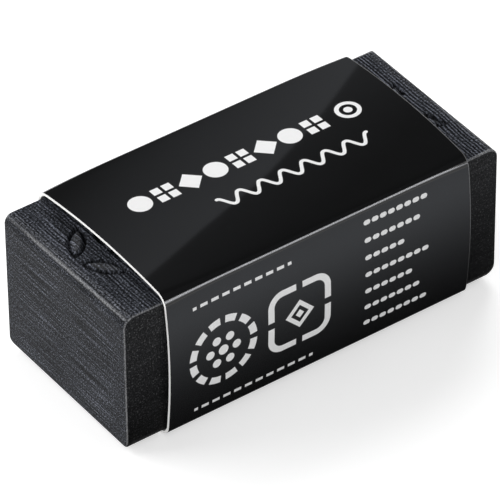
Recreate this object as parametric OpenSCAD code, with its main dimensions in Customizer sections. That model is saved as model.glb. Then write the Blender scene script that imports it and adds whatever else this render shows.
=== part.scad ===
// A small vinyl eraser in a folded card sleeve.
// X runs along the eraser, Y across it and Z up. The origin lies midway along the block, midway
// across it, on the surface that the sleeve rests on.

/* [Eraser block] */
// Length of the block
block_l = 33; // [26:0.5:60]
// Width of the block
block_w = 14.8; // [10:0.2:26]
// Height of the block
block_h = 11.8; // [8:0.1:20]
// Radius of the two moulded edges that cross the top of the block
end_r = 0.9; // [0.3:0.1:2]
// Radius of the two moulded edges that cross under it
foot_r = 0.5; // [0.3:0.1:2]
// Small flat along the four knife-cut long edges
cut_flat = 0.15; // [0.05:0.05:0.4]

/* [Pressed plait] */
// Length of one leaf from tip to tip
leaf_l = 3.5; // [2.5:0.1:4]
// Width of one leaf at its middle
leaf_w = 1.4; // [1:0.1:1.8]
// Slant of a leaf from the plait's centre line
leaf_slant = 52; // [40:1:65]
// Step from one leaf to the next
leaf_step = 2.35; // [2.1:0.05:4]
// Gap across the centre line, between the two rows of leaves
row_gap = 0.7; // [0.3:0.1:1.5]
// Width of the groove round a leaf
groove_w = 0.22; // [0.1:0.02:0.3]
// Depth of the groove round a leaf
groove_d = 0.3; // [0.1:0.05:0.6]
// Plain margin from the block's ends to the plait
plait_margin = 1.2; // [1:0.1:5]

/* [Card sleeve] */
// Length of the sleeve along the block
sleeve_l = 26.9; // [16:0.1:50]
// How far the sleeve's middle lies from the block's middle
sleeve_shift = 0.25; // [-2:0.05:2]
// Thickness of the card
card_t = 0.3; // [0.2:0.05:0.5]
// Inside radius of the four folds
fold_r = 0.5; // [0.3:0.05:0.7]
// Gap between the block and the card at each side
side_gap = 0.15; // [0.15:0.01:0.4]
// Gap under the block
rest_gap = 0.12; // [0.1:0.01:0.3]
// Gap over the block
top_gap = 0.38; // [0.15:0.01:0.6]
// How far the front and the back of the sleeve belly out between their folds
side_belly = 0.35; // [0:0.05:0.6]
// How far the top of the sleeve bellies out between its folds
top_belly = 0.45; // [0:0.05:0.8]
// How high the inner ply starts above the fold under the back
ply_start = 0.9; // [0.5:0.1:2]
// How far the glued lap ends below the fold over the back
lap_end = 2.4; // [1:0.1:4]

/* [Hidden] */

$fn = 48;
// Steps that a fold and a belly are drawn in
fold_steps = 8;
belly_steps = 12;
// Length by which a cutting tool runs past what it cuts
past = 0.5;

block_z = card_t + rest_gap;
plait_top = block_z + block_h;
// Leaves that fit in a row between the margins
leaf_room = block_l - 2 * plait_margin - leaf_l * cos(leaf_slant);
leaf_count = 1 + floor(leaf_room / leaf_step);

// A leaf is the lens where two equal circles overlap
function lens_r(l, w) = (l * l + w * w) / (4 * w);

// Inside half width and inside height of the sleeve, fold to fold
in_hw = block_w / 2 + side_gap;
in_h = block_h + rest_gap + top_gap;
// Straight run of the front and of the back between their folds, and of the top
run_h = in_h - 2 * fold_r;
run_w = 2 * (in_hw - fold_r);

// Slope that a belly gives the card where it meets its folds
side_lift = atan(4 * side_belly / run_h);
top_lift = atan(4 * top_belly / run_w);
// Height that a belly of that slope adds at t, from one fold at 0 to the next at 1
function belly(chord, lift, t) = chord * tan(lift) * t * (1 - t);
// Rise that starts and ends level, from 0 to 1
function ease(t) = pow(sin(90 * t), 2);

// The sleeve is one strip of card. It starts inside the back, goes up and over the top, down the
// front, along the bottom and up the back again, outside its own start. Each stretch is drawn at
// off, its distance out from the inside face of the single ply, and leaves its last point to the
// stretch that follows it.
function fold(y, z, a0, a1, off) =
    [for (i = [0:fold_steps - 1]) let (a = a0 + (a1 - a0) * i / fold_steps)
        [y + (fold_r + off) * cos(a), z + (fold_r + off) * sin(a)]];
// Point on the back (side 1) or the front (side -1) at t, from the fold under it to the fold over it
function side_at(side, t, off) =
    let (r = fold_r + off, chord = run_h + 2 * r * sin(side_lift))
    [side * (in_hw - fold_r + r * cos(side_lift) + belly(chord, side_lift, t)),
        card_t + fold_r - r * sin(side_lift) + chord * t];
function side_run(side, t0, t1, off) =
    let (n = ceil(belly_steps * abs(t1 - t0)))
    [for (i = [0:n - 1]) side_at(side, t0 + (t1 - t0) * i / n, off)];
function top_run(off) =
    let (r = fold_r + off, chord = run_w + 2 * r * sin(top_lift))
    [for (i = [0:belly_steps - 1]) let (t = i / belly_steps)
        [chord * (0.5 - t), card_t + in_h - fold_r + r * cos(top_lift) + belly(chord, top_lift, t)]];
function bottom_run(off) = [[fold_r - in_hw, card_t - off]];
// The fold under the back steps out by one card, so that the second ply lies on the first
function step_fold(off) =
    [for (i = [0:fold_steps - 1])
        let (t = i / fold_steps, a = (90 - side_lift) * t - 90, r = fold_r + off + card_t * ease(t))
        [in_hw - fold_r + r * cos(a), card_t + fold_r + r * sin(a)]];

// From the fold over the back round to the bottom
function wrap(off) = concat(
    fold(in_hw - fold_r, card_t + in_h - fold_r, side_lift, 90 - top_lift, off),
    top_run(off),
    fold(fold_r - in_hw, card_t + in_h - fold_r, 90 + top_lift, 180 - side_lift, off),
    side_run(-1, 1, 0, off),
    fold(fold_r - in_hw, card_t + fold_r, 180 + side_lift, 270, off),
    bottom_run(off)
);

ply_t = ply_start / run_h;
lap_t = 1 - lap_end / run_h;

module leaf(l, w) {
    r = lens_r(l, w);
    intersection() {
        translate([0, r - w / 2])
            circle(r);
        translate([0, w / 2 - r])
            circle(r);
    }
}

// The groove that is pressed round one leaf
module leaf_groove() {
    linear_extrude(groove_d + past)
        difference() {
            leaf(leaf_l, leaf_w);
            leaf(leaf_l - 4 * groove_w, leaf_w - 2 * groove_w);
        }
}

// Two rows of leaves that slant away from the centre line, along the top of the block
module plait() {
    reach = leaf_l / 2 * sin(leaf_slant) + row_gap / 2;
    for (i = [0:leaf_count - 1], side = [-1, 1])
        translate([(i - (leaf_count - 1) / 2) * leaf_step, side * reach, plait_top - groove_d])
            rotate(side * leaf_slant)
                leaf_groove();
}

// Side outline of the block: a rectangle with its moulded corners round
module block_side() {
    translate([end_r - block_l / 2, 0])
        square([block_l - 2 * end_r, block_h]);
    translate([foot_r - block_l / 2, 0])
        square([block_l - 2 * foot_r, block_h - end_r]);
    translate([-block_l / 2, foot_r])
        square([block_l, block_h - end_r - foot_r]);
    for (x = [-1, 1]) {
        translate([x * (block_l / 2 - end_r), block_h - end_r])
            circle(end_r);
        translate([x * (block_l / 2 - foot_r), foot_r])
            circle(foot_r);
    }
}

module eraser_block() {
    color([0.2, 0.21, 0.22])
        difference() {
            translate([0, block_w / 2, block_z])
                rotate([90, 0, 0])
                    linear_extrude(block_w)
                        block_side();
            for (side = [-1, 1], z = [block_z, plait_top])
                translate([0, side * block_w / 2, z])
                    rotate([45, 0, 0])
                        cube([block_l + 2 * past, cut_flat * sqrt(2), cut_flat * sqrt(2)], center = true);
            plait();
        }
}

// End view of the folded strip, Y across and Z up
module sleeve_section() {
    difference() {
        polygon(concat(
            step_fold(card_t),
            side_run(1, 0, lap_t, 2 * card_t),
            [side_at(1, lap_t, 2 * card_t)],
            side_run(1, lap_t, 1, card_t),
            wrap(card_t)
        ));
        polygon(concat(
            step_fold(0),
            side_run(1, 0, ply_t, card_t),
            [side_at(1, ply_t, card_t)],
            side_run(1, ply_t, 1, 0),
            wrap(0)
        ));
    }
}

module card_sleeve() {
    color([0.08, 0.08, 0.09])
        translate([sleeve_shift - sleeve_l / 2, 0, 0])
            rotate([90, 0, 90])
                linear_extrude(sleeve_l)
                    sleeve_section();
}

eraser_block();
card_sleeve();
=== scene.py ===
# A small black vinyl eraser in a glossy printed card sleeve, on a pale table under soft studio light.
import math

import bpy
import numpy as np
from mathutils import Matrix, Vector


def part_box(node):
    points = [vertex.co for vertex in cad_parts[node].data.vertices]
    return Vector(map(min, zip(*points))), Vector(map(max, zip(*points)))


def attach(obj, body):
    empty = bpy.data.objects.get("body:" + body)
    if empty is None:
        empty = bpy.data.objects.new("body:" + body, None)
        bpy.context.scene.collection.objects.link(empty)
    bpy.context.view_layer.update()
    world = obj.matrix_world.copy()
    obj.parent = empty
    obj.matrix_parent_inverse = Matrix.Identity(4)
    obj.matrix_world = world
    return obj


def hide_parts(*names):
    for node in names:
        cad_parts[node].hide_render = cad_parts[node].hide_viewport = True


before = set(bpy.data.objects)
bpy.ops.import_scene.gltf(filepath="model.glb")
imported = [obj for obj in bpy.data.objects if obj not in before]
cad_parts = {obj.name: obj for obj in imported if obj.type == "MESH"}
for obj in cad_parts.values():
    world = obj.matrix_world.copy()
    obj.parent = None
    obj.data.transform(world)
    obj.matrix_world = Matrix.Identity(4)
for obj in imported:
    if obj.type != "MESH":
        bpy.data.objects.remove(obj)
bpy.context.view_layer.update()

mm = 0.001                      # lengths are written in millimetres, and Blender's meshes are in metres
blockLow, blockHigh = (np.array(corner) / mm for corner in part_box("eraser_block"))
sleeveLow, sleeveHigh = (np.array(corner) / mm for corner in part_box("card_sleeve"))


# Node helpers, for materials and for Geometry Nodes

def plug(socket, value):        # a wire is linked, anything else is set on the socket
    if isinstance(value, Wire):
        socket.id_data.links.new(value.socket, socket)
    else:
        socket.default_value = value


class Wire:                     # an output of a node, on which Python's signs add Math nodes
    def __init__(self, socket):
        self.socket = socket

    def out(self, name):        # another output of the same node
        return Wire(self.socket.node.outputs[name])

    def math(self, operation, *values):
        node = self.socket.id_data.nodes.new("ShaderNodeMath")
        node.operation = operation
        for socket, value in zip(node.inputs, values):
            plug(socket, value)
        return Wire(node.outputs[0])

    def __add__(self, other):
        return self.math("ADD", self, other)

    def __radd__(self, other):
        return self.math("ADD", other, self)

    def __sub__(self, other):
        return self.math("SUBTRACT", self, other)

    def __rsub__(self, other):
        return self.math("SUBTRACT", other, self)

    def __mul__(self, other):
        return self.math("MULTIPLY", self, other)

    def __rmul__(self, other):
        return self.math("MULTIPLY", other, self)

    def __truediv__(self, other):
        return self.math("DIVIDE", self, other)

    def __rtruediv__(self, other):
        return self.math("DIVIDE", other, self)

    def __pow__(self, other):
        return self.math("POWER", self, other)

    def __mod__(self, other):
        return self.math("FLOORED_MODULO", self, other)

    def __neg__(self):
        return self.math("MULTIPLY", self, -1.0)

    def __abs__(self):
        return self.math("ABSOLUTE", self)

    def __gt__(self, other):
        return self.math("GREATER_THAN", self, other)

    def __lt__(self, other):
        return self.math("LESS_THAN", self, other)

    def __and__(self, other):   # both of two masks
        return self.math("MINIMUM", self, other)

    def __or__(self, other):    # either of two masks
        return self.math("MAXIMUM", self, other)

    def floor(self):
        return self.math("FLOOR", self)

    def root(self):
        return self.math("SQRT", self)

    def wave(self):
        return self.math("SINE", self)

    def sign(self):
        return self.math("SIGN", self)

    def held(self, low=0.0, high=1.0):
        return self.math("MINIMUM", self.math("MAXIMUM", self, low), high)

    def exp(self):
        return self.math("EXPONENT", self)

    def bell(self, centre, width):      # 1 at the centre, falling off to both sides
        return (-(((self - centre) / width) ** 2.0)).exp()


class Wiring:                   # a node tree, with one way of adding any node to it
    def __init__(self, tree):
        self.tree = tree

    def put(self, kind, settings=None, values=None, output=0):
        node = self.tree.nodes.new(kind)
        for name, setting in (settings or {}).items():
            setattr(node, name, setting)
        for name, value in (values or {}).items():
            plug(node.inputs[name], value)
        return Wire(node.outputs[output]) if node.outputs else None

    def vector(self, x, y, z):
        return self.put("ShaderNodeCombineXYZ", {}, {0: x, 1: y, 2: z})

    def parts(self, vector):
        split = self.put("ShaderNodeSeparateXYZ", {}, {0: vector})
        return split, split.out(1), split.out(2)

    def place(self):            # where on the piece, in millimetres
        metres = self.put("ShaderNodeTexCoord", {}, {}, "Object")
        scaled = self.put("ShaderNodeVectorMath", {"operation": "SCALE"}, {0: metres, "Scale": 1 / mm})
        return self.parts(scaled)

    def grain(self, vector, detail=2.0, roughness=0.5):     # noise from 0 to 1, one grain to a unit
        return self.put("ShaderNodeTexNoise", {}, {
            "Vector": vector, "Scale": 1.0, "Detail": detail, "Roughness": roughness})

    def tint(self, share, start, end):                      # one colour turning into another
        return self.put("ShaderNodeMix", {"data_type": "RGBA"}, {0: share, 6: start, 7: end}, 2)

    def ease(self, value, low, high):                       # 0 below low, 1 above high, smooth between
        return self.put("ShaderNodeMapRange", {"interpolation_type": "SMOOTHSTEP"},
                        {"Value": value, "From Min": low, "From Max": high})

    def dents(self, height, depth, strength=1.0):           # a bump, its depth in millimetres
        return self.put("ShaderNodeBump", {}, {
            "Strength": strength, "Distance": depth * mm, "Height": height})


def grey(level, blue=1.0):      # a grey, slightly blue where blue is over 1
    return (level, level * (1 + (blue - 1) * 0.25), level * blue, 1.0)


def newFinish(name):
    material = bpy.data.materials.new(name)
    material.use_nodes = True
    material.node_tree.nodes.clear()
    return material, Wiring(material.node_tree)


def coated(tree, values):       # the surface shader and the material's output
    shader = tree.put("ShaderNodeBsdfPrincipled", {}, values)
    tree.put("ShaderNodeOutputMaterial", {}, {"Surface": shader})


def flatMap(tree, name):        # a piece's own map, whose units are millimetres
    across, along, _ = tree.parts(tree.put("ShaderNodeUVMap", {"uv_map": name}))
    return across, along


# Camera: where the photograph was taken from, as fitted to the block's edges

cameraFit = {
    "sensor": 36.0,
    "lens": 383.2,
    "place": (-176.02, -243.01, 246.25),
    "aim": (-0.324, -0.042, 6.040),
    "roll": -0.584,             # degrees
}


def setCamera():
    data = bpy.data.cameras.new("camera")
    data.lens = cameraFit["lens"]
    data.sensor_width = cameraFit["sensor"]
    data.clip_start, data.clip_end = 0.01, 20.0
    camera = bpy.data.objects.new("camera", data)
    bpy.context.collection.objects.link(camera)
    place, aim = Vector(cameraFit["place"]) * mm, Vector(cameraFit["aim"]) * mm
    turn = (aim - place).to_track_quat("-Z", "Y").to_matrix().to_4x4()
    roll = Matrix.Rotation(math.radians(cameraFit["roll"]), 4, "Z")
    camera.matrix_world = Matrix.Translation(place) @ turn @ roll
    bpy.context.scene.camera = camera


setCamera()
print("camera set")


# The block's two finishes: the moulded skin, and the two long sides where the bar was cut

vinylLook = {
    "skin": 0.0242,             # colours are linear
    "skinBlue": 1.3,
    "skinMiddle": 0.12,         # where an even patch of skin lies, from black at 0 to the palest streak at 1
    "skinRough": 0.56,
    "skinIor": 1.22,
    "cut": 0.0088,
    "cutMiddle": 0.2,
    "cutRough": 0.5,
    "cutIor": 1.2,
    "speck": 0.1,               # powder left by the knife
    "worn": 0.33,               # grey of the pale edges: painted highlight and sheen, and rubbed wear
    "rowPitch": 0.27,           # of the lines that run across the bar
    "rowDrift": 14.0,           # how far they wander, in radians
    "driftSize": (2.5, 6.0),    # over the lines, and along them
    "streakSize": (0.12, 6.5),  # of the finer ones between them
    "dotSize": (0.13, 0.156),
    "grainSize": (0.11, 0.11),
    "patchSize": (2.6, 3.4),
    # level: the top is painted lighter and the ends darker than the skin itself, painted light and shade
    "top": {"rows": 1.4, "rowGain": 1.3, "streaks": 5.5, "dots": 7.4, "level": 0.22},
    "end": {"streaks": 7.4, "grain": 8.7, "dots": 4.3, "level": -0.46},
    "ridgeHighlight": (0.85, 0.13),      # painted highlight along a rounded edge: radians round it, and half its width
    "band": (1.1, 0.35),        # painted sheen in a band above that highlight
    "rim": (0.12, 0.05),        # pale rim along the cut, partly rubbed wear and partly painted sheen: where it starts and where it is full
    "cornerRun": (3.5, 0.5),    # from the +X end, where the rim's wear and painted sheen are strongest
    # painted shade in the plait's creases, and painted sheen on its leaves' middles
    "creaseShade": 0.65,
    "creaseShadeGrey": 0.002,
    "leafSheen": 0.1,
    "leafSheenGrey": 0.3,
    "dentDepth": 0.4,
    "powderSize": 0.13,
    "cloudSize": 2.4,
    "dragSize": (1.8, 1.0, 0.2),        # where the blade dragged
    "cutDentDepth": 0.1,
}


def makeSkin():
    material, tree = newFinish("moulded_vinyl")
    look = vinylLook
    around, along = flatMap(tree, "rindMap")
    x, y, z = tree.place()

    def noise(size, seed, detail=1.0):          # from -0.5 to 0.5
        return tree.grain(tree.vector(around / size[0], along / size[1], seed), detail, 0.55) - 0.5

    drift = noise(look["driftSize"], 1.0)
    rows = (around * (2 * math.pi / look["rowPitch"]) + drift * look["rowDrift"]).wave() * 0.5
    streaks = noise(look["streakSize"], 3.0, 2.0)
    dots = noise(look["dotSize"], 5.0)
    grain = noise(look["grainSize"], 9.0)
    patch = noise(look["patchSize"], 2.0, 2.0)

    out = abs(x) - (blockHigh[0] - blockSizes["endRound"])      # over 0 past the start of a rounded edge
    rise = z - (blockHigh[2] - blockSizes["endRound"])
    onTop = tree.ease(rise, 0.5, 0.85)                          # the top's lines run out on the rounded edge
    top, end = look["top"], look["end"]
    rowStrength = tree.ease(x, 0.0, blockHigh[0]) * top["rowGain"] + top["rows"]        # more of them at +X
    # the two levels paint the top lighter and the ends darker, standing for light and shade
    topLines = rows * rowStrength + streaks * top["streaks"] + dots * top["dots"] + top["level"]
    endLines = streaks * end["streaks"] + grain * end["grain"] + dots * end["dots"] + end["level"]
    lines = topLines * onTop + endLines * (1.0 - onTop)
    lift = (lines + patch * 0.7).exp() * look["skinMiddle"]
    topRelief = rows * 0.16 + dots * 0.6 + streaks * 0.4
    endRelief = streaks * 0.7 + grain * 0.8
    relief = topRelief * onTop + endRelief * (1.0 - onTop)

    turn = out.math("ARCTAN2", rise, out)                       # a quarter turn over the rounded edge
    broken = tree.ease(grain * 0.6 + dots * 0.5 + patch * 0.6, -0.12, 0.12)     # breaks up pale lines
    # painted highlight along the rounded edges, with painted sheen in a band beside it
    ridgeHighlight = turn.bell(*look["ridgeHighlight"]) * (broken * 0.8 + 0.2) * 0.75
    band = turn.bell(*look["band"]) * tree.ease(dots + streaks, -0.15, 0.2) * 0.22
    # pale rim along the cut: partly rubbed wear, partly painted sheen
    corner = tree.ease(x, *(blockHigh[0] - reach for reach in look["cornerRun"]))
    rimStart, rimFull = (blockHigh[1] - reach for reach in look["rim"])
    rim = tree.ease(abs(y) + corner * look["rim"][0], rimStart, rimFull)
    rim = rim * (broken * 0.6 + 0.4) * (corner * 0.5 + 0.75)
    # the 'pressed' value: painted shade in the plait's creases, and, under 0, painted sheen on the leaves'
    # middles
    pressed = tree.put("ShaderNodeAttribute", {"attribute_name": "pressed"}, {}, "Fac")

    palest = grey(look["skin"] / look["skinMiddle"], look["skinBlue"])
    shade = tree.tint(lift.held(), grey(0.0), palest)
    faded = tree.ease(patch + dots * 0.3, -0.12, 0.08) * 0.65 + 0.35
    # painted shade in the creases
    shade = tree.tint((pressed * faded * look["creaseShade"]).held(), shade, grey(look["creaseShadeGrey"]))
    # painted sheen on the leaves' swollen middles
    shade = tree.tint((pressed * -look["leafSheen"]).held(), shade, grey(look["leafSheenGrey"]))
    # pale edges: painted highlight and painted sheen, with rubbed wear along the cut
    shade = tree.tint((ridgeHighlight | band | rim).held(), shade, grey(look["worn"], 1.04))
    coated(tree, {
        "Base Color": shade,
        "Roughness": (look["skinRough"] - lines * 0.03).held(0.35, 0.8),
        "IOR": look["skinIor"],
        "Normal": tree.dents(relief, look["dentDepth"], 0.8),
    })
    return material


def makeCut():
    material, tree = newFinish("cut_vinyl")
    look = vinylLook
    x, y, z = tree.place()
    fine, broad, (dragX, dragY, dragZ) = look["powderSize"], look["cloudSize"], look["dragSize"]
    powder = tree.grain(tree.vector(x / fine, y / fine, z / fine), 2.0, 0.6)
    cloud = tree.grain(tree.vector(x / broad, y / broad, z / broad))
    drag = tree.grain(tree.vector(x / dragX, y / dragY, z / dragZ))
    lift = ((powder - 0.5) * 7.0 + (cloud - 0.5) * 0.8 + (drag - 0.5) * 2.0).exp() * look["cutMiddle"]
    paintedTopLight = tree.ease(z, 0.0, blockHigh[2] + 2.0) * 1.1 + 0.5            # painted light: the cut faces paler, with more specks showing, higher up, as if lit from above
    shade = tree.tint((lift * paintedTopLight).held(), grey(0.0), grey(look["cut"] / look["cutMiddle"], 1.08))
    shade = tree.tint(tree.ease(powder, 0.6, 0.7) * paintedTopLight * 0.7, shade, grey(look["speck"]))
    coated(tree, {
        "Base Color": shade,
        "Roughness": look["cutRough"] + cloud * 0.12,
        "IOR": look["cutIor"],
        "Normal": tree.dents(powder * 0.6 + drag * 0.4, look["cutDentDepth"], 0.6),
    })
    return material


# The block: a bar that is rounded at its ends and cut square across, with a plait pressed into its top

blockSizes = {
    "endRound": 0.9,            # moulded edges over the ends, at the front
    "farRound": (0.7, 0.4),     # at the back, where they were moulded sharper: at -X and at +X
    "footRound": ((0.15, 0.5), (0.8, 0.5)),     # under them, front and back: at -X and at +X
    "longRound": 0.5,           # the two long edges below, worn round
    "rim": 0.09,                # tiny chamfer left by the cut
    "fineStep": 0.08,           # mesh step over the plait
    "wideStep": 0.5,            # elsewhere
    "sideSteps": 6,             # from the plait to the worn edges
    "edgeSteps": 7,             # over a worn edge
    "roundSteps": 12,           # over a rounded end
    "plaitHalf": 4.1,           # half width of the band that is meshed finely
    "plaitMargin": 1.2,
}
plaitSizes = {
    "Leaf length": 3.5,
    "Leaf width": 1.4,
    "Leaf slant": 52.0,         # degrees from the block's length
    "Leaf step": 2.35,
    "Row gap": 0.7,
    "Crease depth": 0.27,
    "Crease width": 0.13,
    "Pillow": 0.1,              # how far a leaf swells inside its crease
    "Lip": 0.035,               # how far the skin swells outside it
}


def outline(y, shrink=0.0):     # side outline of the block at y, from the foot of the -X end, over the top
    s = blockSizes
    low, high = blockLow + shrink, blockHigh - shrink
    far = (y / blockHigh[1] + 1) / 2            # 0 at the front, 1 at the back
    worn = s["longRound"]
    low[2] += worn - math.sqrt(worn ** 2 - max(0.0, abs(y) - blockHigh[1] + worn) ** 2)
    left, right = (s["endRound"] * (1 - far) + sharp * far - shrink for sharp in s["farRound"])
    leftFoot, rightFoot = (front * (1 - far) + back * far - shrink for front, back in s["footRound"])
    steps = s["roundSteps"]
    length, height = (blockHigh - blockLow)[[0, 2]]
    topCount = round(length / s["fineStep"])
    endCount, footCount = (round(side / s["wideStep"]) for side in (height, length))

    def turn(cx, cz, r, start):
        angles = [math.radians(start - 90 * i / steps) for i in range(steps)]
        return [(cx + r * math.cos(a), cz + r * math.sin(a)) for a in angles]

    def run(start, end, number):
        return [tuple(np.array(start) + (np.array(end) - start) * i / number) for i in range(number)]

    return np.array(
        run((low[0], low[2] + leftFoot), (low[0], high[2] - left), endCount)
        + turn(low[0] + left, high[2] - left, left, 180)
        + run((low[0] + left, high[2]), (high[0] - right, high[2]), topCount)
        + turn(high[0] - right, high[2] - right, right, 90)
        + run((high[0], high[2] - right), (high[0], low[2] + rightFoot), endCount)
        + turn(high[0] - rightFoot, low[2] + rightFoot, rightFoot, 0)
        + run((high[0] - rightFoot, low[2]), (low[0] + leftFoot, low[2]), footCount)
        + turn(low[0] + leftFoot, low[2] + leftFoot, leftFoot, 270)
    )


def crossStations():            # places across the width, fine over the plait and close at the edges
    s, half = blockSizes, blockHigh[1]
    rim, band, worn = s["rim"], s["plaitHalf"], s["longRound"]
    fine = np.linspace(-band, band, 1 + round(2 * band / s["fineStep"]))
    side = np.linspace(band, half - worn, s["sideSteps"] + 1)[1:-1]
    edge = half - rim - (worn - rim) * np.linspace(1, 0, s["edgeSteps"] + 1) ** 1.5
    return np.concatenate([-edge[::-1], -side[::-1], fine, side, edge])


def makeBar():
    rim, side = blockSizes["rim"], blockHigh[1]
    rings = [(-side, rim), *((y, 0.0) for y in crossStations()), (side, rim)]
    points = np.concatenate([np.insert(outline(y, shrink), 1, y, axis=1) for y, shrink in rings])
    n = len(points) // len(rings)
    here = np.arange(n)
    after = (here + 1) % n
    faces = [here[::-1].tolist(), (here + (len(rings) - 1) * n).tolist()]
    for k in range(len(rings) - 1):
        a, b = k * n, (k + 1) * n
        faces += np.stack([here + a, after + a, after + b, here + b], 1).tolist()
    mesh = bpy.data.meshes.new("vinyl_block")
    mesh.from_pydata((points * mm).tolist(), [], faces)

    middle = outline(0.0)
    steps = np.linalg.norm(np.diff(middle, axis=0, append=middle[:1]), axis=1)
    lengths = np.concatenate([[0.0], np.cumsum(steps)])
    rind = mesh.uv_layers.new(name="rindMap")       # length round the outline, and place across the bar
    for polygon in mesh.polygons:
        numbers = np.array(polygon.vertices) % n
        if len(numbers) == 4 and np.ptp(numbers) > n // 2:
            numbers[numbers == 0] = n               # so that the last faces don't run back over all others
        for loop, vertex, number in zip(polygon.loop_indices, polygon.vertices, numbers):
            rind.data[loop].uv = lengths[number], points[vertex][1]
    mesh.shade_smooth()
    mesh.set_sharp_from_angle(angle=math.radians(50))
    bar = bpy.data.objects.new("vinyl_block", mesh)
    bpy.context.collection.objects.link(bar)
    return bar


def plaitTree():                # presses two rows of leaves into whatever faces lie at the top
    group = bpy.data.node_groups.new("pressed_plait", "GeometryNodeTree")
    group.interface.new_socket("Geometry", in_out="INPUT", socket_type="NodeSocketGeometry")
    for name in plaitSizes:
        group.interface.new_socket(name, in_out="INPUT", socket_type="NodeSocketFloat")
    for name in ("Top", "Leaves"):
        group.interface.new_socket(name, in_out="INPUT", socket_type="NodeSocketFloat")
    for name in ("Skin", "Cut"):
        group.interface.new_socket(name, in_out="INPUT", socket_type="NodeSocketMaterial")
    group.interface.new_socket("Geometry", in_out="OUTPUT", socket_type="NodeSocketGeometry")
    tree = Wiring(group)
    given = tree.put("NodeGroupInput")
    length, width, slant, step, rowGap, deep, crease, pillow, lipHigh = (
        given.out(name) for name in plaitSizes)
    top, leaves = given.out("Top"), given.out("Leaves")

    # one leaf: a disc drawn out to the lens where two equal circles overlap
    disc = tree.put("GeometryNodeMeshCircle", {"fill_type": "NGON"}, {"Vertices": 64, "Radius": 1.0})
    x, y, _ = tree.parts(tree.put("GeometryNodeInputPosition"))
    along = x * length * 0.5
    bow = (length * length + width * width) / (width * 4.0)
    across = ((bow * bow - along * along).root() - bow + width * 0.5) * y.sign()
    leaf = tree.put("GeometryNodeSetPosition", {}, {
        "Geometry": disc, "Position": tree.vector(along, across, 0.0)})

    # a row of them, each a little its own way, and its mirror image
    reach = length * 0.5 * slant.wave() + rowGap * 0.5
    row = tree.put("GeometryNodeMeshLine", {"mode": "OFFSET"}, {
        "Count": leaves, "Start Location": tree.vector((leaves - 1.0) * step * -0.5, reach, top),
        "Offset": tree.vector(step, 0.0, 0.0)})
    lean = tree.put("FunctionNodeRandomValue", {}, {2: -0.02, 3: 0.02, "Seed": 4}, 1)
    growth = tree.put("FunctionNodeRandomValue", {}, {2: 0.97, 3: 1.02, "Seed": 9}, 1)
    placed = tree.put("GeometryNodeInstanceOnPoints", {}, {
        "Points": row, "Instance": leaf, "Rotation": tree.vector(0.0, 0.0, slant + lean), "Scale": growth})
    upper = tree.put("GeometryNodeRealizeInstances", {}, {"Geometry": placed})
    lower = tree.put("GeometryNodeTransform", {}, {"Geometry": upper, "Scale": (1.0, -1.0, 1.0)})
    joined = tree.put("GeometryNodeJoinGeometry", {}, {0: upper})
    group.links.new(lower.socket, joined.socket.node.inputs[0])

    # how far each point of the skin lies inside a leaf's outline
    place = tree.put("GeometryNodeInputPosition")
    px, py, pz = tree.parts(place)
    flat = tree.vector(px, py, top)
    edge = tree.put("GeometryNodeProximity", {"target_element": "EDGES"},
                    {"Geometry": joined, "Sample Position": flat}, "Distance")
    inside = tree.put("GeometryNodeRaycast", {}, {
        "Target Geometry": joined, "Source Position": tree.vector(px, py, top + mm),
        "Ray Direction": (0.0, 0.0, -1.0), "Ray Length": 2 * mm}, "Is Hit")
    depth = edge * (inside * 2.0 - 1.0)
    swell = tree.ease(depth, crease, crease * 4.5) * pillow
    lip = depth.bell(-crease, crease * 1.3) * lipHigh
    groove = depth.bell(crease * 0.8, crease) * deep
    onTop = pz > top - 0.002 * mm
    # painted shade in the creases, less a painted sheen on the leaves' swollen middles; stored as the skin's
    # 'pressed' value
    paintedShadeAndSheen = (depth.bell(crease * 0.8, crease * 0.9) - tree.ease(depth, crease * 1.5, crease * 4.0)) * onTop
    marked = tree.put("GeometryNodeStoreNamedAttribute", {"data_type": "FLOAT", "domain": "POINT"}, {
        "Geometry": given.out("Geometry"), "Name": "pressed", "Value": paintedShadeAndSheen})
    pressed = tree.put("GeometryNodeSetPosition", {}, {
        "Geometry": marked, "Selection": onTop, "Offset": tree.vector(0.0, 0.0, swell + lip - groove)})

    _, facing, _ = tree.parts(tree.put("GeometryNodeInputNormal"))
    whole = tree.put("GeometryNodeRealizeInstances", {}, {"Geometry": pressed})
    skinned = tree.put("GeometryNodeSetMaterial", {}, {"Geometry": whole, "Material": given.out("Skin")})
    finished = tree.put("GeometryNodeSetMaterial", {}, {
        "Geometry": skinned, "Selection": abs(facing) > 0.9, "Material": given.out("Cut")})
    tree.put("NodeGroupOutput", {}, {"Geometry": finished})
    return group


def makeBlock():
    bar = makeBar()
    group = plaitTree()
    modifier = bar.modifiers.new("press", "NODES")
    modifier.node_group = group
    room = (blockHigh[0] - blockLow[0] - 2 * blockSizes["plaitMargin"]
            - plaitSizes["Leaf length"] * math.cos(math.radians(plaitSizes["Leaf slant"])))
    inputs = {name: size * mm for name, size in plaitSizes.items()}
    inputs["Leaf slant"] = math.radians(plaitSizes["Leaf slant"])
    inputs["Top"] = blockHigh[2] * mm
    inputs["Leaves"] = float(1 + math.floor(room / plaitSizes["Leaf step"]))
    inputs["Skin"], inputs["Cut"] = makeSkin(), makeCut()
    for item in group.interface.items_tree:
        if item.in_out == "INPUT" and item.name in inputs:
            modifier[item.identifier] = inputs[item.name]
    graph = bpy.context.evaluated_depsgraph_get()
    mesh = bpy.data.meshes.new_from_object(bar.evaluated_get(graph))
    bpy.data.objects.remove(bar)
    block = bpy.data.objects.new("vinyl_block", mesh)
    bpy.context.collection.objects.link(block)
    return block


block = makeBlock()
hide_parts("eraser_block")
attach(block, "block")
print("block made:", len(block.data.polygons), "faces", [m.name for m in block.data.materials])


# The sleeve's card: black gloss print outside, white core at the cuts, plain inside

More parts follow.
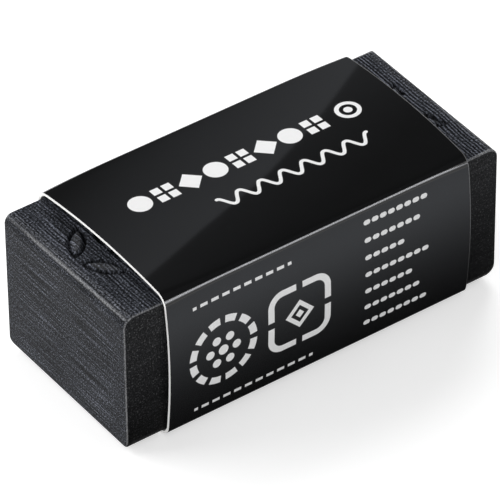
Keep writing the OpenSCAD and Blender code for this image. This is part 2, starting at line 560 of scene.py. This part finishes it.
printLook = {
    "black": 0.0055,
    "white": 0.9,
    "core": 0.88,
    "inside": 0.62,
    "soft": 0.03,               # softness of a printed edge
    "bare": 0.6,                # left without print beside the folds
    "endWearAndSheen": 0.05,                # print lost along the sleeve's +X end, and a painted highlight there
    "foldWearAndHighlight": 0.07,            # cracked print and a painted highlight along the near top fold, half its width
    "foldMiddle": -0.13,        # place of that pale line round the card, set on the fold's highlight
    "film": 0.045,              # roughness
    "filmDent": 0.0012,
    "fibre": 0.14,              # grain that shows through the film
    "cloud": 4.0,
    "strand": (0.5, 0.07),      # length and width of the bare card's fibres
    "mottle": 1.3,
}
topDesign = {                   # x as in the frame, y from the middle of the top
    "row": {"start": -9.9, "pitch": 2.2, "count": 8, "middle": 1.45},
    "disc": 0.92,
    "tile": 0.84,
    "tileGap": 0.13,
    "diamond": 0.72,
    "emblem": {"place": (9.6, 1.45), "radius": 0.84, "half": 0.17, "dot": 0.34},
    "wave": {"left": -4.2, "periods": 7, "middle": -1.95, "swing": 0.52, "period": 1.9, "half": 0.14},
}
frontDesign = {                 # x as in the frame, heights from the table
    "wheel": {"place": (-8.6, 6.3), "radius": 2.65, "half": 0.3, "teeth": 12, "tooth": 0.34,
              "dots": 6, "reach": 1.15, "dot": 0.36, "hub": 0.42},
    "frame": {"place": (-1.9, 6.3), "straight": 1.45, "round": 1.05, "half": 0.27, "gap": 0.28,
              "gem": 0.72, "gemHalf": 0.17, "gemDot": 0.26},
    "rows": {"left": 4.3, "low": 2.35, "pitch": 1.52, "count": 7, "bead": 0.74, "half": 0.1, "radius": 0.2},
    "dashes": {"left": -11.5, "pitch": 0.95, "half": 0.31, "thick": 0.13,
               "upper": (11.05, -6.75, 4.28), "lower": (1.75, -5.8, 5.23)},    # height, middle, half length
}
diagonal = math.sqrt(0.5)


def inkOf(gap):                 # from a distance to an edge, under 0 inside, to a mask
    return (0.5 - gap / printLook["soft"]).held()


def dot(x, y, cx, cy, r):
    return ((x - cx) ** 2.0 + (y - cy) ** 2.0).root() - r


def bar(x, y, cx, cy, halfX, halfY):
    return (abs(x - cx) - halfX) | (abs(y - cy) - halfY)


def topPrint(x, y):
    d, row = topDesign, topDesign["row"]
    cell = ((x - row["start"]) / row["pitch"]).floor()
    here = (x - row["start"]) - (cell + 0.5) * row["pitch"]
    up = y - row["middle"]
    kind = cell % 3.0           # a disc, four tiles and a diamond by turns
    disc = dot(here, up, 0.0, 0.0, d["disc"])
    tiles = bar(here, up, 0.0, 0.0, d["tile"], d["tile"])
    tiles = tiles | (d["tileGap"] - abs(here)) | (d["tileGap"] - abs(up))
    diamond = (abs(here) + abs(up)) * diagonal - d["diamond"]
    shape = (kind < 0.5) * disc + ((kind > 0.5) & (kind < 1.5)) * tiles + (kind > 1.5) * diamond
    bold = inkOf(shape | (abs(cell - (row["count"] - 1) / 2) - row["count"] / 2))

    mark = d["emblem"]
    emblem = inkOf((abs(dot(x, y, *mark["place"], mark["radius"])) - mark["half"])
                   & dot(x, y, *mark["place"], mark["dot"]))

    line = d["wave"]            # starts and ends on a crest
    right = line["left"] + line["periods"] * line["period"]
    bend = 2 * math.pi / line["period"]
    height = ((x - line["left"]) * bend + math.pi / 2).wave() * line["swing"] + line["middle"]
    slope = ((x - line["left"]) * bend).wave() * bend * line["swing"]
    gap = abs(y - height) / (slope * slope + 1.0).root() - line["half"]
    gap = gap | (abs(x - (line["left"] + right) / 2) - (right - line["left"]) / 2)
    crestY = line["middle"] + line["swing"]
    ends = dot(x, y, line["left"], crestY, line["half"]) & dot(x, y, right, crestY, line["half"])
    return bold | emblem | inkOf(gap & ends)


def frontPrint(x, z):
    w = frontDesign["wheel"]
    dx, dz = x - w["place"][0], z - w["place"][1]
    turn = dz.math("ARCTAN2", dz, dx)
    teeth = (turn * (w["teeth"] / (2 * math.pi))) % 1.0
    rim = (abs(dot(x, z, *w["place"], w["radius"])) - w["half"]) | (abs(teeth - 0.5) - w["tooth"]) * 1.4
    apart = w["dots"] / (2 * math.pi)
    sector = (turn * apart + 0.5).floor() / apart               # the angle of the nearest dot
    dotX, dotZ = (sector + math.pi / 2).wave() * w["reach"], sector.wave() * w["reach"]
    dots = ((dx - dotX) ** 2.0 + (dz - dotZ) ** 2.0).root() - w["dot"]
    wheel = inkOf(rim & dots & dot(x, z, *w["place"], w["hub"]))

    f = frontDesign["frame"]
    bx, bz = abs(x - f["place"][0]), abs(z - f["place"][1])
    overX, overZ = ((side - f["straight"]) | 0.0 for side in (bx, bz))
    square = (overX ** 2.0 + overZ ** 2.0).root() - f["round"]
    outer = (abs(square) - f["half"]) | (f["gap"] - (bx & bz))
    slope = (bx + bz) * diagonal
    framed = inkOf(outer & (abs(slope - f["gem"]) - f["gemHalf"]) & (slope - f["gemDot"]))

    rows = frontDesign["rows"]
    number = ((z - rows["low"]) / rows["pitch"] + 0.5).floor()
    up = z - rows["low"] - number * rows["pitch"]
    bead = ((x - rows["left"]) / rows["bead"] + 0.5).floor()
    across = abs(x - rows["left"] - bead * rows["bead"]) - rows["half"]
    length = 6.3 + (number * 2.4 + 0.7).wave() * 1.7            # beads in a row, a few more or fewer
    pill = ((across | 0.0) ** 2.0 + up ** 2.0).root() - rows["radius"]
    listed = abs(number - (rows["count"] - 1) / 2) < rows["count"] / 2
    column = inkOf(pill) * (listed & (bead > -0.5) & (bead < length))

    dash = frontDesign["dashes"]
    ticks = abs((x - dash["left"]) % dash["pitch"] - dash["pitch"] / 2) - dash["half"]
    upper, lower = (
        ticks | (abs(z - height) - dash["thick"]) | (abs(x - middle) - half)
        for height, middle, half in (dash["upper"], dash["lower"]))
    return wheel | framed | column | inkOf(upper & lower)


def makePrint(topHalf, foldHeight):
    material, tree = newFinish("gloss_print")
    look = printLook
    across, along = flatMap(tree, "cardMap")        # along is 0 on the near top fold, over 0 on the top
    onTop = (along > look["bare"]) & (along < topHalf * 2 - look["bare"])
    onFront = (along < -look["bare"]) & (along > look["bare"] - foldHeight)
    ink = topPrint(across, along - topHalf) * onTop + frontPrint(across, along + foldHeight) * onFront
    fibre = tree.grain(tree.vector(across / look["fibre"], along / look["fibre"], 0.0), 3.0, 0.6)
    cloud = tree.grain(tree.vector(across / look["cloud"], along / look["cloud"], 3.0))
    ends = across - (sleeveHigh[0] - look["endWearAndSheen"])
    endWearAndSheen = tree.ease(ends + (fibre - 0.5) * 0.05, -0.03, 0.02)
    # a pale line on the near top fold's crest: cracked print and a painted highlight
    crest = tree.ease(abs(along - look["foldMiddle"]), look["foldWearAndHighlight"], 0.0) * tree.ease(fibre, 0.35, 0.7)
    black = tree.tint(cloud, grey(look["black"] * 0.85), grey(look["black"] * 1.15, 1.05))
    shade = tree.tint(ink, black, grey(look["white"]))
    endHighlightAndWear = endWearAndSheen * (tree.ease(along, -foldHeight, 0.0) * 0.16 + 0.04)   # painted highlight and wear, fading towards the bottom
    # pale +X end: worn print and a painted highlight; pale fold crest: cracked print and a painted highlight
    shade = tree.tint(endHighlightAndWear | (crest * 0.15), shade, grey(look["core"]))
    coated(tree, {
        "Base Color": shade,
        "Roughness": (look["film"] + fibre * 0.02 + endWearAndSheen * 0.3 + ink * 0.05).held(0.03, 0.6),
        "Specular IOR Level": 0.5,
        "Normal": tree.dents(fibre, look["filmDent"], 0.25),
    })
    return material


def makeCard(name, level):
    material, tree = newFinish(name)
    x, y, z = tree.place()
    (long, thin), size = printLook["strand"], printLook["mottle"]
    fibre = tree.grain(tree.vector(x / long, y / thin, z / thin), 3.0, 0.6)
    mottle = tree.grain(tree.vector(x / size, y / size, z / size))
    dull, pale = grey(level * 0.86, 0.97), grey(min(level * 1.08, 0.95), 0.99)
    shade = tree.tint(fibre * 0.6 + mottle * 0.4, dull, pale)
    coated(tree, {
        "Base Color": shade,
        "Roughness": 0.72 + fibre * 0.16,
        "Specular IOR Level": 0.25,
        "Normal": tree.dents(fibre, 0.01, 0.5),
    })
    return material


# The sleeve: one strip of card wrapped round the block, its end stuck over its start on the back

sleeveSizes = {
    "card": 0.3,
    "foldInside": 0.5,          # inside radius of the top folds
    "footInside": 0.9,          # and of the lower ones
    "wideFold": 0.85,           # inside radius of the top folds where they spring open, at the ends
    "wideLength": 6.0,
    "endSkew": 0.2,             # the +X end isn't cut quite square
    "sideGap": 0.15,            # card to block
    "restGap": 0.12,
    "topGap": 0.38,
    "sideBelly": 0.345,
    "topBelly": 0.45,
    "plyStart": 0.9,            # above the fold, where the strip starts inside the back
    "lapEnd": 2.4,              # below the top fold, where it ends outside
    "glue": 0.004,              # between the two plies
    "chamfer": 0.012,
    "press": 0.07,              # how much thinner the knife left the card at the ends
    "foldSteps": 14,
    "runSteps": 26,
    "lengthSteps": 40,
}


def wrapPath(topFold):
    # Points (y, z) on the inside face of the card, and the way out of it there
    s = sleeveSizes
    card, footFold = s["card"], s["footInside"]
    half = blockHigh[1] + s["sideGap"]
    tall = blockHigh[2] - blockLow[2] + s["restGap"] + s["topGap"]
    sideRun = tall - footFold - topFold
    sideLift = math.atan(4 * s["sideBelly"] / sideRun)
    topLift = math.atan(4 * s["topBelly"] / (2 * (half - s["foldInside"])))
    quarter = math.pi / 2
    footY, footZ = half - footFold, card + footFold             # middles of the folds
    headY, headZ = half - topFold, card + tall - topFold
    backLow = np.array([footY + footFold * math.cos(sideLift), footZ - footFold * math.sin(sideLift)])
    backHigh = np.array([headY + topFold * math.cos(sideLift), headZ + topFold * math.sin(sideLift)])
    topBack = np.array([headY + topFold * math.sin(topLift), headZ + topFold * math.cos(topLift)])
    over, toBack, mirror = np.array([0.0, 1.0]), np.array([1.0, 0.0]), np.array([-1.0, 1.0])

    def fold(y, z, r, start, end):
        for a in np.linspace(start, end, s["foldSteps"], endpoint=False):
            way = np.array([math.cos(a), math.sin(a)])
            yield np.array([y, z]) + way * r, way

    def run(start, end, lift, way, first=0.0, last=1.0):        # a shallow arch between two folds
        chord = np.linalg.norm(end - start)
        bow = math.tan(lift)
        for t in np.linspace(first, last, s["runSteps"], endpoint=False):
            out = way - (end - start) / chord * bow * (1 - 2 * t)
            yield start + (end - start) * t + way * chord * bow * t * (1 - t), out / np.linalg.norm(out)

    plyStart = s["plyStart"] / sideRun
    lapEnd = 1 - s["lapEnd"] / sideRun
    steps = [
        *run(backLow, backHigh, sideLift, toBack, plyStart),
        *fold(headY, headZ, topFold, sideLift, quarter - topLift),
        *run(topBack, topBack * mirror, topLift, over),
        *fold(-headY, headZ, topFold, quarter + topLift, 2 * quarter - sideLift),
        *run(backHigh * mirror, backLow * mirror, sideLift, -toBack),
        *fold(-footY, footZ, footFold, 2 * quarter + sideLift, 3 * quarter),
        *run(np.array([-footY, card]), np.array([footY, card]), 0.0, -over),
    ]
    apart = card + s["glue"]
    for t in np.linspace(0, 1, s["foldSteps"], endpoint=False):     # steps out by one card under the back
        a = (quarter - sideLift) * t - quarter
        way = np.array([math.cos(a), math.sin(a)])
        steps.append((np.array([footY, footZ]) + way * (footFold + apart * math.sin(quarter * t) ** 2), way))
    outerPly = [*run(backLow, backHigh, sideLift, toBack, 0.0, lapEnd),
                next(run(backLow, backHigh, sideLift, toBack, lapEnd))]
    steps += [(point + way * apart, way) for point, way in outerPly]
    return np.array([point for point, _ in steps]), np.array([way for _, way in steps])


def lengthStations():           # places along the sleeve, what comes off the card outside there, and inside
    s = sleeveSizes
    left, right, cut, press = sleeveLow[0], sleeveHigh[0], s["chamfer"], s["press"]
    inner = np.linspace(left + cut, right - cut, s["lengthSteps"] + 1)
    outsideLoss = [cut] + [0.0] * len(inner) + [cut]
    insideLoss = [press] * 2 + [0.0] * (len(inner) - 2) + [press] * 2
    return np.concatenate([[left], inner, [right]]), outsideLoss, insideLoss


def makeSleeve():
    s = sleeveSizes
    points, ways = wrapPath(s["foldInside"])
    widePoints, wideWays = wrapPath(s["wideFold"])
    middle = points + ways * s["card"] / 2
    length = np.concatenate([[0.0], np.cumsum(np.linalg.norm(np.diff(middle, axis=0), axis=1))])
    topMiddle = s["runSteps"] + s["foldSteps"] + s["runSteps"] // 2
    crest = topMiddle + s["runSteps"] // 2 + s["foldSteps"] // 2      # middle of the near top fold
    along = length[crest] - length
    places, outsideLoss, insideLoss = lengthStations()
    n, k = len(points), len(places)
    verts = np.empty((2, k, n, 3))
    for j, x in enumerate(places):
        wide = max(0.0, 1 - min(x - places[0], places[-1] - x) / s["wideLength"]) ** 2
        inside = points * (1 - wide) + widePoints * wide
        out = ways * (1 - wide) + wideWays * wide
        out /= np.linalg.norm(out, axis=1)[:, None]
        skew = max(0.0, x / places[-1]) * s["endSkew"] / points[:, 0].max()
        verts[:, j, :, 0] = x + skew * inside[:, 0]
        verts[0, j, :, 1:] = inside + out * insideLoss[j]
        verts[1, j, :, 1:] = inside + out * (s["card"] - outsideLoss[j])
    inner, outer = np.arange(2 * k * n).reshape(2, k, n)
    faces, kinds = [], []

    def sheet(corners, kind, flip=False):
        quads = np.stack([corner.ravel() for corner in (corners[::-1] if flip else corners)], 1)
        faces.extend(quads.tolist())
        kinds.extend([kind] * len(quads))

    for side, kind, flip in ((outer, 0, False), (inner, 2, True)):
        sheet([side[:-1, :-1], side[:-1, 1:], side[1:, 1:], side[1:, :-1]], kind, flip)
    for j, flip in ((0, False), (k - 1, True)):                 # the cut edges at the two ends
        sheet([inner[j, :-1], inner[j, 1:], outer[j, 1:], outer[j, :-1]], 1, flip)
    for i, flip in ((0, True), (n - 1, False)):                 # and at the strip's start and finish
        sheet([inner[:-1, i], inner[1:, i], outer[1:, i], outer[:-1, i]], 1, flip)
    mesh = bpy.data.meshes.new("printed_sleeve")
    mesh.from_pydata((verts.reshape(-1, 3) * mm).tolist(), [], faces)

    cardMap = mesh.uv_layers.new(name="cardMap")                # place along the sleeve, and round it
    loops = np.empty(len(mesh.loops), dtype=int)
    mesh.loops.foreach_get("vertex_index", loops)
    spots = np.stack([np.broadcast_to(places[:, None], (2, k, n)).ravel(),
                      np.broadcast_to(along, (2, k, n)).ravel()], 1)[loops]
    cardMap.data.foreach_set("uv", spots.ravel())
    gloss = makePrint(along[topMiddle], points[crest][1] + ways[crest][1] * s["card"])
    mesh.materials.append(gloss)
    mesh.materials.append(makeCard("card_core", printLook["core"]))
    mesh.materials.append(makeCard("card_inside", printLook["inside"]))
    mesh.polygons.foreach_set("material_index", kinds)
    mesh.shade_smooth()
    mesh.set_sharp_from_angle(angle=math.radians(35))
    sleeve = bpy.data.objects.new("printed_sleeve", mesh)
    bpy.context.collection.objects.link(sleeve)
    return sleeve


sleeve = makeSleeve()
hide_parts("card_sleeve")
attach(sleeve, "sleeve")
print("sleeve made:", len(sleeve.data.polygons), "faces")


# Studio: a pale table, soft lamps, and cards that only mirrored rays see

studio = {
    "floor": 0.8,
    "floorLift": 0.5,           # added to what the camera sees of the floor
    "sky": 0.42,                # light of the sky, which the camera and mirrored rays see white
    "key": {"way": (-0.63, 0.64, 0.45), "far": 360, "size": 320, "power": 0.9},
    "back": {"way": (0.55, 0.6, 0.58), "far": 360, "size": 190, "power": 0.6},
    "front": {"way": (-0.87, -0.47, 0.14), "far": 420, "size": 160, "power": 0.79},
    "middle": 6,                # height that the lamps point at
    "edge": 4000,               # half width of the table
}
scrim = {                       # what the top mirrors: a soft panel with a bent edge, on a dark ground
    "corners": [(-10, 195, -18), (186, 57, -18), (100, -67, 168), (-96, 71, 168)],
    "middle": (45.0, 64.0, 75.0),
    "across": (0.818, -0.575, 0.0),
    "up": (-0.361, -0.513, 0.779),
    "bend": (4.0, 3.16),        # where its edge bends, across and up
    "edges": [(-0.998, -0.063), (-0.976, -0.219)],
    "soft": 0.3,
    "panel": (0.0121, 0.0030, 0.40, 0.05, 0.46),        # light across, up and at the middle, least and most
    "ground": (-0.0045, -0.001, 0.146, 0.05, 0.15),
    "tone": (0.89, 0.93, 1.0, 1.0),
}
shadowedApron = {                       # what the front mirrors: a painted shadow of the table, dark beside the sleeve and pale further out
    "corners": [(-70, -60, 0.05), (110, -60, 0.05), (110, -7.5, 0.05), (-70, -7.5, 0.05)],
    "start": -7.9,
    "near": (-1.0, 17.0, 0.8),  # from, to, and light gained
    "far": (17.0, 60.0, 0.2),
    "least": 0.01,
    "tone": (0.89, 0.93, 1.0, 1.0),
}
canopy = {                      # dark overhead, beyond the scrim
    "corners": [(-160, -265, 172), (360, -265, 172), (360, 60, 172), (-160, 60, 172)],
    "light": 0.1,
    "tone": (0.89, 0.93, 1.0, 1.0),
}
strip = {                       # draws the light line along the near top fold
    "corners": [(92, -266, 42), (196, -266, 42), (196, -266, 170), (92, -266, 170)],
    "height": 111.0,
    "half": 48.0,
    "light": 9.8,
    "tone": (0.95, 0.96, 1.0, 1.0),
}


def addLamp(name):
    lamp = studio[name]
    way = Vector(lamp["way"]).normalized()
    data = bpy.data.lights.new(name, "AREA")
    data.shape = "DISK"
    data.size = lamp["size"] * mm
    data.energy = lamp["power"]
    place = bpy.data.objects.new(name, data)
    place.location = Vector((0, 0, studio["middle"] * mm)) + way * lamp["far"] * mm
    place.rotation_euler = way.to_track_quat("Z", "Y").to_euler()
    place.visible_glossy = False        # the film mirrors the sky and the cards, and not the bare lamps
    bpy.context.collection.objects.link(place)


def seen(tree):                 # 1 for rays from the camera and for mirrored ones
    path = tree.put("ShaderNodeLightPath")
    return path | path.out("Is Glossy Ray") | path.out("Is Transmission Ray")


def makeWorld():
    world = bpy.data.worlds.new("studio")
    world.use_nodes = True
    world.node_tree.nodes.clear()
    tree = Wiring(world.node_tree)
    level = studio["sky"] + seen(tree) * (1.0 - studio["sky"])
    sky = tree.put("ShaderNodeBackground", {}, {"Color": (1, 1, 1, 1), "Strength": level})
    tree.put("ShaderNodeOutputWorld", {}, {"Surface": sky})
    bpy.context.scene.world = world


def addPanel(name, corners):    # a flat four-cornered panel, its corners in millimetres
    mesh = bpy.data.meshes.new(name)
    mesh.from_pydata([tuple(np.array(corner) * mm) for corner in corners], [], [(0, 1, 2, 3)])
    panel = bpy.data.objects.new(name, mesh)
    bpy.context.collection.objects.link(panel)
    material, tree = newFinish(name)
    mesh.materials.append(material)
    return panel, tree


def makeFloor():
    edge = studio["edge"]
    _, tree = addPanel("table_top", [(-edge, -edge, 0), (edge, -edge, 0), (edge, edge, 0), (-edge, edge, 0)])
    matt = tree.put("ShaderNodeBsdfDiffuse", {}, {"Color": grey(studio["floor"])})
    lift = tree.put("ShaderNodeEmission", {}, {"Strength": seen(tree) * studio["floorLift"]})
    both = tree.put("ShaderNodeAddShader", {}, {0: matt, 1: lift})
    tree.put("ShaderNodeOutputMaterial", {}, {"Surface": both})


def addMirrored(name, card, paint):
    # A card that only reflections see. paint gives its light from the place on it, in millimetres
    panel, tree = addPanel(name, card["corners"])
    glow = tree.put("ShaderNodeEmission", {}, {"Color": card["tone"], "Strength": paint(tree, *tree.place())})
    tree.put("ShaderNodeOutputMaterial", {}, {"Surface": glow})
    panel.visible_camera = False
    panel.visible_diffuse = False
    panel.visible_shadow = False


def scrimLight(tree, x, y, z):
    dx, dy, dz = (value - middle for value, middle in zip((x, y, z), scrim["middle"]))
    across, up = (dx * way[0] + dy * way[1] + dz * way[2] for way in (scrim["across"], scrim["up"]))
    bendX, bendY = scrim["bend"]
    first, second = ((across - bendX) * way[0] + (up - bendY) * way[1] for way in scrim["edges"])
    lit = ((first & second) / scrim["soft"] + 0.5).held()
    panel, ground = (
        (across * byAcross + up * byUp + middle).held(least, most)
        for byAcross, byUp, middle, least, most in (scrim["panel"], scrim["ground"]))
    return lit * panel + (1.0 - lit) * ground


# painted shadow: the card's light rises with distance from the sleeve
def apronLight(tree, x, y, z):
    away = shadowedApron["start"] - y
    near, far = (tree.ease(away, low, high) * gain for low, high, gain in (shadowedApron["near"], shadowedApron["far"]))
    return near + far + shadowedApron["least"]


def canopyLight(tree, x, y, z):
    return canopy["light"]


def stripLight(tree, x, y, z):
    return z.bell(strip["height"], strip["half"]) * strip["light"]


makeWorld()
makeFloor()
addMirrored("scrim", scrim, scrimLight)
addMirrored("shadowedApron", shadowedApron, apronLight)
addMirrored("canopy", canopy, canopyLight)
addMirrored("strip", strip, stripLight)
for lampName in ("key", "back", "front"):
    addLamp(lampName)
bpy.context.scene.view_settings.view_transform = "Standard"
print("studio set")
